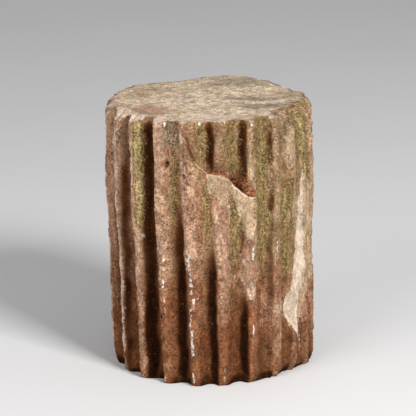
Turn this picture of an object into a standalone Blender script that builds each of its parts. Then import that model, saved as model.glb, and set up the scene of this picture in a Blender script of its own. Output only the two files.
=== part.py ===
# Fluted column fragment: one weathered block of stone from the shaft of a fluted column.
# Metres, +Z up the shaft, -Y towards the side with the ledge and the long flakes.
# A bearing is in degrees round the shaft: 0 is -Y and 90 is +X.
# A share is a height divided by the block's height: 0 is the underside, 1 the top face.
# The underside is flat. The top is an old break, the edges are worn, and nothing lost is put back.

import math

import bmesh
import bpy
from mathutils import Vector, noise

# Block
BLOCK_HEIGHT = 0.450      # underside to the general level of the top face
FOOT_RADIUS = 0.1770      # over the ridges between flutes, at the underside
HEAD_RADIUS = 0.1750      # the same, at the top face
HEAD_LEAN = -0.008        # how far the head stands to the side of the foot, along X
BELLY_SWELL = 0.0030      # swelling of the shaft, greatest at BELLY_SHARE
BELLY_SHARE = 0.70
BELLY_SPREAD = 0.14       # share over which the swelling dies away

# Worn flats of the outline in plan: bearing, spread in degrees, depth
PLAN_FLATS = (
    (28.0, 32.0, 0.0100),
    (148.0, 26.0, 0.0050),
    (-150.0, 22.0, 0.0030),
)

# Ridges set out by hand on the front, at the underside and at the top face, in degrees
FRONT_RIDGES_FOOT = (-78.0, -58.5, -43.5, -28.0, -11.0, 4.0, 22.0, 39.5, 53.5, 67.0, 82.0)
FRONT_RIDGES_HEAD = (-82.0, -64.5, -48.5, -31.0, -14.5, 5.0, 23.5, 40.0, 53.0, 63.0, 76.0)

# Depth of the flutes between those ridges, at the underside and at the top face
FRONT_DEPTHS_FOOT = (0.0140, 0.0185, 0.0205, 0.0185, 0.0165, 0.0165, 0.0120, 0.0080, 0.0080, 0.0080)
FRONT_DEPTHS_HEAD = (0.0120, 0.0160, 0.0185, 0.0075, 0.0120, 0.0165, 0.0130, 0.0095, 0.0060, 0.0070)

BACK_FLUTES = 12          # evenly spaced round the hidden side
BACK_DEPTH = 0.0120
FLUTE_BREADTH = 1.5       # above 1 the hollow is broader than the worn ridge beside it
FLUTE_SKEW = 0.15         # how far the deepest line of a front flute lies right of its middle

# Stretches where a front flute is shallow: flute from the left, share, spread, part of depth lost
SHALLOWS = (
    (3, 0.80, 0.16, 0.35),
    (4, 0.68, 0.10, 0.50),
    (5, 0.66, 0.08, 0.25),
)

# Worn edges: bearing, spread in degrees, reach inwards, reach along the shaft,
# and roundness, from 0 for a slope to 1 for a quarter round
RIM_WEAR = (
    (0.0, 900.0, 0.0035, 0.0050, 1.0),
    (-56.0, 30.0, 0.0260, 0.0200, 0.1),
    (-100.0, 32.0, 0.0170, 0.0130, 0.4),
    (67.0, 27.0, 0.0400, 0.0560, 0.8),
    (180.0, 76.0, 0.0140, 0.0090, 0.5),
)
FOOT_WEAR = (
    (0.0, 900.0, 0.0080, 0.0090, 0.8),
    (-92.0, 26.0, 0.0180, 0.0740, 0.8),
    (50.0, 28.0, 0.0170, 0.0600, 0.9),
    (97.0, 18.0, 0.0190, 0.0480, 0.6),
    (172.0, 22.0, 0.0090, 0.0280, 0.6),
)

# Ledge left by a lost flake: bearing, share of its lip, depth of the hollow above it
LEDGE = (
    (-14.0, 0.880, 0.0),
    (-10.0, 0.869, 0.0030),
    (-7.0, 0.840, 0.0060),
    (-2.0, 0.810, 0.0120),
    (3.0, 0.801, 0.0170),
    (7.0, 0.797, 0.0190),
    (11.0, 0.785, 0.0160),
    (14.0, 0.758, 0.0180),
    (18.0, 0.736, 0.0210),
    (23.5, 0.707, 0.0200),
    (26.8, 0.704, 0.0120),
    (28.5, 0.712, 0.0),
)
LEDGE_STEP = 0.012        # share over which the lip drops back into the hollow
HOLLOW_REACH = 0.090      # share over which the hollow runs out above the lip

# Flakes lost just below the ledge: bearing at the lip, bearing and share of the lower end,
# depth at the lip, narrowness
UNDER_LEDGE_FLAKES = (
    (4.5, 8.0, 0.450, 0.0115, 2.4),
    (19.5, 23.5, 0.560, 0.0160, 2.0),
)

# Flakes lost elsewhere: bearing at mid length, degrees it turns to its lower end,
# share at mid length, half its length as a share, depth, narrowness
FLAKES = (
    (21.5, 0.0, 0.445, 0.110, 0.0055, 3.6),
    (37.5, 0.0, 0.750, 0.070, 0.0060, 3.4),
    (59.5, -2.0, 0.510, 0.360, 0.0130, 1.9),
    (53.0, 2.0, 0.255, 0.100, 0.0120, 2.2),
    (94.0, 0.0, 0.480, 0.110, 0.0100, 1.5),
    (-97.0, 4.0, 0.520, 0.200, 0.0050, 2.2),
    (-148.0, -6.0, 0.640, 0.240, 0.0120, 1.4),
    (128.0, 8.0, 0.330, 0.220, 0.0110, 1.6),
    (176.0, 0.0, 0.800, 0.160, 0.0090, 2.0),
)

FLAKE_BREADTH = 80.0      # degrees, times the narrowness, from a flake's middle to its sides

# Swells and dips of the top face: X, Y, rise, spread
TOP_SWELLS = (
    (0.048, 0.140, 0.0060, 0.065),
    (-0.070, 0.150, -0.0040, 0.045),
    (0.125, 0.070, -0.0040, 0.040),
    (0.085, -0.040, -0.0040, 0.050),
    (-0.020, -0.060, -0.0020, 0.060),
)
TOP_FADE = 6              # power of the share by which the side follows the top's swells

# Unevenness of the stone: reach of the swells, size of each swell
COARSE_SWELL = (0.0013, 0.055)
FINE_SWELL = (0.0007, 0.018)

# Facets of the solid
FLUTE_STEPS = (0.0, 0.09, 0.21, 0.35, 0.50, 0.65, 0.79, 0.91)   # places across one flute
SIDE_STEPS = (
    0.0, 0.014, 0.045, 0.090, 0.140, 0.195, 0.255, 0.315, 0.375, 0.435, 0.495,
    0.555, 0.615, 0.670, 0.725, 0.770, 0.785, 0.835, 0.885, 0.925, 0.957, 0.978, 0.991, 1.0,
)
LIP_STEP = 0.770          # the step of the side that follows the ledge's lip
OVER_LIP_STEP = 0.785     # the step just above it
TOP_STEPS = (0.90, 0.66, 0.36)   # rings of the top face, as shares of its radius

STONE_COLOUR = (0.50, 0.37, 0.27, 1.0)
STONE_ROUGHNESS = 0.92

FRONT_FLUTES = len(FRONT_RIDGES_FOOT) - 1
FLUTES = FRONT_FLUTES + BACK_FLUTES
COLUMNS = FLUTES * len(FLUTE_STEPS)


def blend(low, high, part):
    """The value a given part of the way from low to high."""
    return low + (high - low) * part


def turn_between(bearing, other):
    """Degrees from one bearing to another, from -180 to 180."""
    return (bearing - other + 180.0) % 360.0 - 180.0


def bell(distance, spread):
    """One at no distance, dying away smoothly over the spread."""
    return math.exp(-((distance / spread) ** 2))


def ridge_bearing(index, share):
    """The bearing of one ridge, counted from the left of the front, at a height."""
    if index <= FRONT_FLUTES:
        return blend(FRONT_RIDGES_FOOT[index], FRONT_RIDGES_HEAD[index], share)
    last = blend(FRONT_RIDGES_FOOT[-1], FRONT_RIDGES_HEAD[-1], share)
    first = blend(FRONT_RIDGES_FOOT[0], FRONT_RIDGES_HEAD[0], share) + 360.0
    return blend(last, first, (index - FRONT_FLUTES) / BACK_FLUTES)


def flute_cut(index, part, share):
    """How deep a flute is cut, a part of the way across it, at a height."""
    depth = BACK_DEPTH
    if index < FRONT_FLUTES:
        depth = blend(FRONT_DEPTHS_FOOT[index], FRONT_DEPTHS_HEAD[index], share)
        for flute, middle, spread, lost in SHALLOWS:
            if flute == index:
                depth *= 1.0 - lost * bell(share - middle, spread)
        part -= FLUTE_SKEW * math.sin(math.pi * part)
    from_middle = abs(2.0 * part - 1.0)
    return depth * (0.5 + 0.5 * math.cos(math.pi * from_middle ** FLUTE_BREADTH))


def drum_radius(bearing, share):
    """The shaft's radius over its ridges, before anything is lost from it."""
    radius = blend(FOOT_RADIUS, HEAD_RADIUS, share)
    radius += BELLY_SWELL * bell(share - BELLY_SHARE, BELLY_SPREAD)
    for flat_bearing, spread, depth in PLAN_FLATS:
        radius -= depth * bell(turn_between(bearing, flat_bearing), spread)
    return radius


def worn_edge(from_edge, bearing, places):
    """How far a worn edge is cut back, at a distance along the shaft from it."""
    deepest = 0.0
    for place, spread, reach_in, reach_along, roundness in places:
        nearness = bell(turn_between(bearing, place), spread)
        if from_edge < reach_along * nearness:
            climb = min(1.0, 1.0 - from_edge / (reach_along * nearness))
            slope = blend(climb, 1.0 - math.sqrt(1.0 - climb * climb), roundness)
            deepest = max(deepest, reach_in * nearness * slope)
    return deepest


def flake_face(flake, bearing, share, radius):
    """The radius that a lost flake leaves, or the radius itself beyond its ends."""
    middle, turn, height, half_length, depth, narrowness = flake
    along = (share - height) / half_length
    if abs(along) >= 1.0:
        return radius
    aside = turn_between(bearing, middle - turn * along) * narrowness
    if abs(aside) >= FLAKE_BREADTH:
        return radius
    floor = radius - depth * (1.0 - along * along)
    return floor / math.cos(math.radians(aside))


def under_ledge_face(flake, bearing, share, lip, radius):
    """The radius left by a flake that is deepest at the lip and runs out below it."""
    upper_bearing, lower_bearing, lower_share, depth, narrowness = flake
    if share <= lower_share:
        return radius
    climb = min(1.0, (share - lower_share) / (lip - lower_share))
    aside = turn_between(bearing, blend(lower_bearing, upper_bearing, climb)) * narrowness
    if abs(aside) >= FLAKE_BREADTH:
        return radius
    return (radius - depth * climb) / math.cos(math.radians(aside))


def ledge_at(bearing):
    """The share of the ledge's lip and the depth of the hollow above it."""
    for (near, low, shallow), (far, high, deep) in zip(LEDGE, LEDGE[1:]):
        if near <= bearing <= far:
            part = (bearing - near) / (far - near)
            return blend(low, high, part), blend(shallow, deep, part)
    return blend(LEDGE[0][1], LEDGE[-1][1], 0.5), 0.0


def stone_swell(bearing, height):
    """Slow unevenness of the stone's face at a place on the shaft."""
    angle = math.radians(bearing)
    place = Vector((math.sin(angle) * FOOT_RADIUS, -math.cos(angle) * FOOT_RADIUS, height))
    swell = 0.0
    for reach, size in (COARSE_SWELL, FINE_SWELL):
        swell += reach * noise.noise(place / size)
    return swell


def column_place(column, share):
    """The flute that a column of the solid lies in, the part of the way across it, and its bearing."""
    index, step = divmod(column, len(FLUTE_STEPS))
    part = FLUTE_STEPS[step]
    bearing = blend(ridge_bearing(index, share), ridge_bearing(index + 1, share), part)
    return index, part, turn_between(bearing, 0.0)


def face_radius(column, share):
    """The bearing and radius of the stone's face at a column of the solid and a height."""
    index, part, bearing = column_place(column, share)
    height = share * BLOCK_HEIGHT
    drum = drum_radius(bearing, share)
    radius = drum - flute_cut(index, part, share) + stone_swell(bearing, height)

    lip, hollow = ledge_at(bearing)
    if share <= lip + LEDGE_STEP / 2.0:
        for flake in UNDER_LEDGE_FLAKES:
            radius = min(radius, under_ledge_face(flake, bearing, share, lip, drum))
    else:
        radius -= hollow * max(0.0, 1.0 - (share - lip) / HOLLOW_REACH)
    for flake in FLAKES:
        radius = min(radius, flake_face(flake, bearing, share, drum))

    rim = worn_edge(BLOCK_HEIGHT - height, bearing, RIM_WEAR)
    foot = worn_edge(height, bearing, FOOT_WEAR)
    return bearing, min(radius, drum - rim, drum - foot)


def share_at_step(bearing, step):
    """The height of a step of the side: the steps near the ledge follow its lip."""
    lip, _ = ledge_at(bearing)
    over = lip + LEDGE_STEP
    if step <= LIP_STEP:
        return step * lip / LIP_STEP
    if step <= OVER_LIP_STEP:
        return blend(lip, over, (step - LIP_STEP) / (OVER_LIP_STEP - LIP_STEP))
    return blend(over, 1.0, (step - OVER_LIP_STEP) / (1.0 - OVER_LIP_STEP))


def top_height(x, y):
    """The height of the broken top face."""
    height = BLOCK_HEIGHT
    for swell_x, swell_y, rise, spread in TOP_SWELLS:
        height += rise * bell(math.hypot(x - swell_x, y - swell_y), spread)
    return height + COARSE_SWELL[0] * noise.noise(Vector((x, y, 0.0)) / COARSE_SWELL[1])


def place_on_shaft(bearing, radius, share):
    """The point at a bearing and radius on the leaning shaft."""
    angle = math.radians(bearing)
    centre = HEAD_LEAN * (share - 0.5)
    return Vector((centre + radius * math.sin(angle), -radius * math.cos(angle), share * BLOCK_HEIGHT))


def shaped_point(column, step, inwards):
    """The final place of one corner of the plain drum that the block is shaped from."""
    _, _, guess = column_place(column, step)
    share = share_at_step(guess, step)
    bearing, radius = face_radius(column, share)
    point = place_on_shaft(bearing, radius * inwards, share)
    point.z += (top_height(point.x, point.y) - BLOCK_HEIGHT) * share ** TOP_FADE
    return point


def plain_drum():
    """A drum of radius 1 and height 1 with the steps of the side and the rings of the top."""
    drum = bmesh.new()
    profile = [drum.verts.new((1.0, 0.0, step)) for step in SIDE_STEPS]
    profile += [drum.verts.new((inwards, 0.0, 1.0)) for inwards in TOP_STEPS]
    profile.append(drum.verts.new((0.0, 0.0, 1.0)))
    edges = [drum.edges.new(pair) for pair in zip(profile, profile[1:])]
    bmesh.ops.spin(
        drum, geom=profile + edges, cent=(0.0, 0.0, 0.0), axis=(0.0, 0.0, 1.0),
        dvec=(0.0, 0.0, 0.0), angle=math.tau, steps=COLUMNS, use_merge=True, use_duplicate=False,
    )
    bmesh.ops.remove_doubles(drum, verts=drum.verts, dist=0.0001)
    open_edges = [edge for edge in drum.edges if edge.is_boundary]
    bmesh.ops.holes_fill(drum, edges=open_edges, sides=0)
    bmesh.ops.recalc_face_normals(drum, faces=drum.faces)
    return drum


def stone_material():
    """Warm, dull, weathered stone."""
    material = bpy.data.materials.new("weathered_stone")
    material.use_nodes = True
    shader = material.node_tree.nodes["Principled BSDF"]
    shader.inputs["Base Color"].default_value = STONE_COLOUR
    shader.inputs["Roughness"].default_value = STONE_ROUGHNESS
    shader.inputs["Metallic"].default_value = 0.0
    return material


def column_fragment():
    """The block: a plain drum whose corners are moved to the fluted, broken face."""
    drum = plain_drum()
    for corner in drum.verts:
        step = corner.co.z
        inwards = math.hypot(corner.co.x, corner.co.y)
        column = round(math.atan2(corner.co.y, corner.co.x) / math.tau * COLUMNS) % COLUMNS
        corner.co = shaped_point(column, step, inwards)

    lowest = Vector([min(corner.co[axis] for corner in drum.verts) for axis in range(3)])
    highest = Vector([max(corner.co[axis] for corner in drum.verts) for axis in range(3)])
    middle = (lowest + highest) / 2.0
    bmesh.ops.translate(drum, verts=drum.verts, vec=(-middle.x, -middle.y, -lowest.z))

    mesh = bpy.data.meshes.new("column_fragment")
    drum.to_mesh(mesh)
    drum.free()
    mesh.materials.append(stone_material())
    block = bpy.data.objects.new("column_fragment", mesh)
    bpy.context.scene.collection.objects.link(block)
    return block


for old_object in list(bpy.data.objects):
    bpy.data.objects.remove(old_object, do_unlink=True)
column_fragment()
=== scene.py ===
import math
import random

import bmesh
import bpy
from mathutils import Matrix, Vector, noise


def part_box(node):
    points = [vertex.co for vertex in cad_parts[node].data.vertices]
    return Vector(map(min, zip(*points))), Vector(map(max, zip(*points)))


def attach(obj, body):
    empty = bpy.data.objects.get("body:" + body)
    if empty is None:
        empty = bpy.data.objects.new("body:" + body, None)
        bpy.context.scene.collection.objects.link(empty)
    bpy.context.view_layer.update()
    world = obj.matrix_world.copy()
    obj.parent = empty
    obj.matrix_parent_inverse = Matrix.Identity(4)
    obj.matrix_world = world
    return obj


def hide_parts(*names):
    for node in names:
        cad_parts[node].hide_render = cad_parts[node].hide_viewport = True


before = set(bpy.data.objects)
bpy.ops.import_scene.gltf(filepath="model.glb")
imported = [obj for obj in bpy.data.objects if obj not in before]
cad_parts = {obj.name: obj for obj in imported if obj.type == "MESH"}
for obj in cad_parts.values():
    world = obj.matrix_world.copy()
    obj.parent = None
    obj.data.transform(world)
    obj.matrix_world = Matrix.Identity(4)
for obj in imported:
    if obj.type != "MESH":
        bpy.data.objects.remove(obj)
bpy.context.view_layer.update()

blockLow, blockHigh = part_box("column_fragment")
print("frame loaded, block", [round(high - low, 3) for low, high in zip(blockLow, blockHigh)])

# Bearings are degrees round the shaft: 0 is the front (-Y) and 90 the right side (+X).
# Shares are heights as parts of the block's height, 0 at the underside and 1 at the top face.

blockSettings = {
    "height": 0.450,
    "footRadius": 0.1770,
    "headRadius": 0.1750,
    "meanRadius": 0.177,    # keeps noise and pits even where the radius changes
    "headLean": -0.008,
    "bellySwell": 0.0030,
    "bellyShare": 0.70,
    "bellySpread": 0.14,
    "planFlats": [(28, 32, 0.0100), (148, 26, 0.0050), (-150, 22, 0.0030)],
    "sideSteps": 204,       # rows up the side
    "extraSteps": {0.0015, 0.770, 0.773, 0.776, 0.779, 0.782, 0.785, 0.9975, 0.999},
    "topSteps": 30,         # rings over the top face
    "frontColumns": 23,     # columns across one flute in view
    "backColumns": 14,
}

fluteSettings = {
    "ridgesFoot": [-78, -58.5, -43.5, -28, -11, 4, 22, 39.5, 53.5, 67, 82],
    "ridgesHead": [-82, -64.5, -48.5, -31, -14.5, 5, 23.5, 40, 53, 63, 76],
    "depthsFoot": [0.0140, 0.0185, 0.0205, 0.0185, 0.0165, 0.0165, 0.0120, 0.0080, 0.0080, 0.0080],
    "depthsHead": [0.0120, 0.0160, 0.0185, 0.0075, 0.0120, 0.0165, 0.0130, 0.0095, 0.0060, 0.0070],
    "shallows": [(3, 0.80, 0.16, 0.35), (4, 0.68, 0.10, 0.50), (5, 0.66, 0.08, 0.25)],
    "backFlutes": 12,
    "backDepth": 0.0120,
    "breadth": 1.5,
    "skew": 0.15,           # the deepest line lies right of the middle
    "wander": (1.0, 0.45),  # degrees that a ridge strays, slowly and quickly
}

# bearing, spread, reach inwards, reach along the shaft, roundness
edgeSettings = {
    "rim": [
        (0, 900, 0.0035, 0.0050, 1.0), (-56, 30, 0.0260, 0.0200, 0.1), (-100, 32, 0.0170, 0.0130, 0.4),
        (67, 27, 0.0400, 0.0560, 0.8), (180, 76, 0.0140, 0.0090, 0.5),
    ],
    "foot": [
        (0, 900, 0.0080, 0.0090, 0.8), (-92, 26, 0.0180, 0.0740, 0.8), (50, 28, 0.0170, 0.0600, 0.9),
        (97, 18, 0.0190, 0.0480, 0.6), (172, 22, 0.0090, 0.0280, 0.6),
    ],
    "raggedness": (0.45, 0.35),
}

# The ledge: bearing, share of its lip, depth of the hollow above it
ledgeSettings = {
    "lip": [
        (-14, 0.88, 0.0), (-10, 0.869, 0.003), (-7, 0.84, 0.006), (-2, 0.81, 0.012),
        (3, 0.801, 0.017), (7, 0.797, 0.019), (11, 0.785, 0.016), (14, 0.758, 0.018),
        (18, 0.736, 0.021), (23.5, 0.707, 0.02), (26.8, 0.704, 0.012), (28.5, 0.712, 0.0),
    ],
    "step": 0.012,
    "elsewhere": 0.80,      # where the rows lie beyond the ledge
    "middle": 8,            # the bearing about which rows of the mesh follow the lip
    "rowsFollow": 20,       # degrees to each side
    "rowsFade": 26,
    "meshSteps": (0.770, 0.785),
    "reach": 0.090,
    "chatter": 0.0035,      # how far the lip strays from its line, as a share
    # bearing, how far the red reaches above the lip, its strength, paleness of the lip itself (fresh
    # stone, and in part a painted highlight where the lip faces up)
    "red": [
        (-9, 0.004, 0.0, 0.9), (-3, 0.006, 0.3, 0.8), (0, 0.01, 0.9, 0.2), (5, 0.016, 1.0, 0.1),
        (12, 0.016, 1.0, 0.2), (15, 0.03, 1.0, 1.0), (19, 0.05, 1.0, 1.0), (22, 0.078, 1.0, 1.0),
        (26, 0.05, 1.0, 1.0), (28.5, 0.02, 0.5, 1.0),
    ],
}

flakeSettings = {
    # bearing at the lip, bearing and share of the lower end, depth at the lip, narrowness
    "underLedge": [(4.5, 8.0, 0.450, 0.0115, 2.4), (19.5, 23.5, 0.560, 0.0160, 2.0)],
    # bearing, degrees it turns, share, half length, depth, narrowness
    "elsewhere": [
        (21.5, 0.0, 0.445, 0.110, 0.0055, 3.6), (37.5, 0.0, 0.750, 0.070, 0.0060, 3.4),
        (59.5, -2.0, 0.510, 0.360, 0.0130, 1.9), (53.0, 2.0, 0.255, 0.100, 0.0120, 2.2),
        (85.0, 0.0, 0.500, 0.120, 0.0085, 1.5), (-97.0, 4.0, 0.520, 0.200, 0.0050, 2.2),
        (-148.0, -6.0, 0.640, 0.240, 0.0120, 1.4), (128.0, 8.0, 0.330, 0.220, 0.0110, 1.6),
        (176.0, 0.0, 0.800, 0.160, 0.0090, 2.0),
    ],
    "ripple": 0.0009,
}

chipSettings = {
    "seed": 7,
    "perRidge": 24,
    "length": (0.004, 0.017),
    "breadth": (0.003, 0.008),
    "depth": (0.0008, 0.0030),
}

# Pits: bearing, share, radius, depth
pitSettings = [
    (-24.0, 0.843, 0.0036, 0.0060), (22.5, 0.896, 0.0022, 0.0020), (33.5, 0.391, 0.0024, 0.0025),
    (65.2, 0.245, 0.0026, 0.0025), (-37.8, 0.297, 0.0045, 0.0030), (-29.2, 0.261, 0.0040, 0.0025),
    (-33.0, 0.320, 0.0040, 0.0030), (-20.5, 0.690, 0.0022, 0.0018), (71.0, 0.215, 0.0028, 0.0025),
    (118.0, 0.610, 0.0040, 0.0035), (-120.0, 0.330, 0.0040, 0.0030), (150.0, 0.840, 0.0035, 0.0030),
]

# Cracks: bearing and share of each corner, then the half width in degrees and the depth
crackSettings = [
    ([(-12.2, 0.945), (-11.0, 0.905), (-9.6, 0.875), (-7.4, 0.842)], 0.90, 0.0011),
    ([(18.6, 0.505), (20.0, 0.477), (21.6, 0.452), (23.2, 0.436)], 0.40, 0.0018),
    ([(58.0, 0.322), (63.0, 0.296), (69.0, 0.262), (74.0, 0.235)], 0.55, 0.0020),
    ([(-150.0, 0.420), (-143.0, 0.380), (-139.0, 0.300)], 0.60, 0.0018),
    ([(104.0, 0.720), (109.0, 0.690), (112.0, 0.600)], 0.60, 0.0018),
]

# Swells and dips of the top face: X, Y, rise, spread
topSettings = {
    "swells": [
        (0.048, 0.140, 0.0060, 0.065), (-0.070, 0.150, -0.0040, 0.045), (0.125, 0.070, -0.0040, 0.040),
        (0.085, -0.040, -0.0040, 0.045), (0.110, -0.090, 0.0030, 0.022), (-0.020, -0.060, -0.0020, 0.060),
    ],
    "bedding": 0.0008,      # height of the torn layers, which run from side to side
    "beddingAlong": 10.0,
    "beddingAcross": 30.0,
    "grain": 0.0012,
}

# Colour laid in the flutes, by mask: flute, part of the way across at its lower and upper end,
# spread, lowest and highest share, strength. The grime rows are dark bands down the flute
# hollows, partly grime and partly painted shade.
flutePaint = {
    "moss": [
        (1, 0.45, 0.45, 0.25, 0.88, 1.0, 0.55), (2, 0.2, 0.26, 0.15, 0.6, 0.98, 1.25),
        (3, 0.58, 0.64, 0.15, 0.62, 0.93, 0.72), (4, 0.46, 0.5, 0.22, 0.82, 1.0, 0.85),
        (4, 0.62, 0.56, 0.17, 0.56, 0.8, 0.75), (5, 0.46, 0.46, 0.36, 0.78, 1.0, 0.84),
        (5, 0.52, 0.52, 0.23, 0.47, 0.75, 0.85), (6, 0.58, 0.58, 0.32, 0.46, 1.0, 0.9),
        (7, 0.72, 0.72, 0.35, 0.38, 0.8, 0.86), (8, 0.12, 0.12, 0.28, 0.4, 0.78, 0.8),
        (8, 0.8, 0.8, 0.4, 0.78, 1.05, 0.95), (9, 0.3, 0.3, 0.5, 0.7, 1.0, 1.02),
        (7, 0.55, 0.7, 0.38, 0.62, 0.78, 1.05),
    ],
    "grimeAndShade": [
        (0, 0.6, 0.6, 0.22, 0.0, 0.9, 0.6), (1, 0.12, 0.4, 0.17, 0.0, 0.9, 0.95),
        (1, 0.16, 0.22, 0.2, 0.0, 0.42, 1.1), (2, 0.35, 0.58, 0.23, 0.0, 0.97, 1.35),
        (3, 0.6, 0.74, 0.21, 0.0, 0.64, 1.3), (3, 0.64, 0.62, 0.16, 0.62, 0.95, 0.7),
        (4, 0.77, 0.77, 0.13, 0.84, 0.99, 1.45), (4, 0.8, 0.8, 0.2, 0.0, 0.52, 1.25),
        (4, 0.7, 0.66, 0.14, 0.62, 0.78, 0.45), (5, 0.87, 0.89, 0.13, 0.76, 0.99, 1.45),
        (5, 0.87, 0.92, 0.18, 0.0, 0.36, 1.25), (5, 0.8, 0.84, 0.07, 0.47, 0.66, 0.75),
        (5, 0.5, 0.5, 0.5, 0.0, 0.26, 0.38), (6, 0.94, 0.94, 0.12, 0.64, 0.98, 1.1),
        (6, 0.94, 0.94, 0.11, 0.27, 0.64, 0.72), (6, 0.85, 0.85, 0.12, 0.08, 0.19, 0.65),
        (6, 0.4, 0.4, 0.34, 0.03, 0.17, 0.6), (7, 0.85, 0.9, 0.12, 0.4, 0.62, 0.4),
        (7, 0.78, 0.78, 0.34, 0.06, 0.2, 0.5), (8, 0.0, 0.0, 0.26, 0.08, 0.2, 0.6),
    ],
    "cream": [
        (2, 0.06, 0.06, 0.08, 0.04, 0.54, 0.46),
    ],
    "pink": [
        (2, 0.06, 0.06, 0.17, 0.0, 0.56, 1.05), (1, -0.06, -0.02, 0.13, 0.0, 0.94, 0.85),
        (0, 0.22, 0.22, 0.26, 0.42, 0.95, 0.8),
    ],
    "grey": [
        (3, 0.52, 0.52, 0.32, 0.9, 1.0, 1.3), (3, 0.25, 0.25, 0.16, 0.7, 0.86, 0.4),
        (7, 0.84, 0.84, 0.07, 0.82, 1.0, 0.85), (7, 0.6, 0.64, 0.07, 0.86, 1.0, 0.6),
        (0, 0.3, 0.3, 0.3, 0.2, 0.44, 0.45),
    ],
}

# Patches, by mask: bearing, share, half breadth in degrees, half length as a share, strength
patchSettings = {
    "red": [
        (-26.2, 0.838, 2.2, 0.02, 0.42), (5.5, 0.87, 3.4, 0.06, 0.35), (7.5, 0.83, 4.2, 0.03, 0.6),
        (23.0, 0.25, 2.0, 0.06, 0.4),
    ],
    # dark patches of grime, and of painted shade in the hollow by the ledge and round the pit at bearing
    # -24
    "grimeAndShade": [
        (21.9, 0.777, 0.7, 0.03, 0.9), (27.0, 0.718, 0.8, 0.026, 0.95),
        (21.0, 0.565, 2.6, 0.022, 0.6), (-78.0, 0.3, 5.0, 0.05, 0.5), (46.0, 0.985, 5.0, 0.012, 0.5),
        (8.0, 0.09, 6.0, 0.06, 0.45), (-22.0, 0.55, 2.2, 0.04, 0.45), (-12.5, 0.86, 1.2, 0.03, 0.55),
        (53.5, 0.135, 4.6, 0.05, 0.85), (36.5, 0.14, 3.8, 0.05, 0.5), (-24.0, 0.842, 1.3, 0.014, 1.3),
        (-26.6, 0.842, 2.0, 0.014, 0.6), (-66.5, 0.78, 2.0, 0.08, 0.6),
    ],
    "cream": [
        (25.4, 0.498, 1.1, 0.014, 0.8), (8.0, 0.462, 1.4, 0.026, 0.6),
        (-42.0, 0.55, 1.6, 0.016, 0.75), (61.0, 0.14, 0.9, 0.05, 0.6), (41.0, 0.93, 1.6, 0.07, 0.5),
        (73.0, 0.13, 0.9, 0.045, 0.8), (-68.5, 0.42, 1.4, 0.17, 0.85), (-73.0, 0.84, 1.5, 0.09, 0.8),
        (-62.0, 0.93, 3.0, 0.03, 0.55), (-47.0, 0.78, 1.0, 0.16, 0.8), (-45.0, 0.45, 0.9, 0.2, 0.62),
        (-29.0, 0.75, 0.8, 0.13, 0.62),
    ],
    "pink": [
        (-8.0, 0.72, 5.0, 0.08, 0.55), (-9.0, 0.52, 5.0, 0.1, 0.4), (34.0, 0.23, 6.0, 0.035, 0.7),
        (45.0, 0.23, 5.0, 0.03, 0.7), (42.0, 0.16, 1.6, 0.06, 0.6), (-29.0, 0.62, 2.0, 0.12, 0.55),
        (-80.0, 0.6, 8.0, 0.4, 1.0), (-61.0, 0.62, 2.6, 0.38, 0.6), (42.0, 0.285, 5.5, 0.04, 1.0),
        (43.0, 0.17, 2.4, 0.08, 1.15), (64.0, 0.24, 3.0, 0.07, 0.8), (33.0, 0.3, 3.4, 0.08, 0.65),
        (78.0, 0.3, 5.0, 0.12, 0.75), (-88.0, 0.75, 6.0, 0.2, 0.9),
    ],
    "bare": [
        (38.0, 0.78, 1.8, 0.08, 0.55), (54.0, 0.87, 5.5, 0.07, 0.95), (24.5, 0.93, 2.2, 0.08, 0.6),
        (-80.0, 0.985, 14.0, 0.035, 0.95), (42.5, 0.275, 5.6, 0.036, 0.85),
        (44.0, 0.18, 1.4, 0.06, 0.55),
    ],
    "grey": [
        # the grey patch at bearing -12.5 lies over the first crack and is in part painted shade
        (-76.0, 0.34, 3.0, 0.07, 0.5), (-12.5, 0.88, 1.8, 0.05, 0.6), (60.0, 0.965, 16.0, 0.04, 0.45),
    ],
    "moss": [
        (4.0, 0.755, 4.0, 0.03, 0.35), (-6.0, 0.8, 2.2, 0.03, 0.6), (62.0, 0.94, 14.0, 0.06, 0.6),
    ],
}

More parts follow.
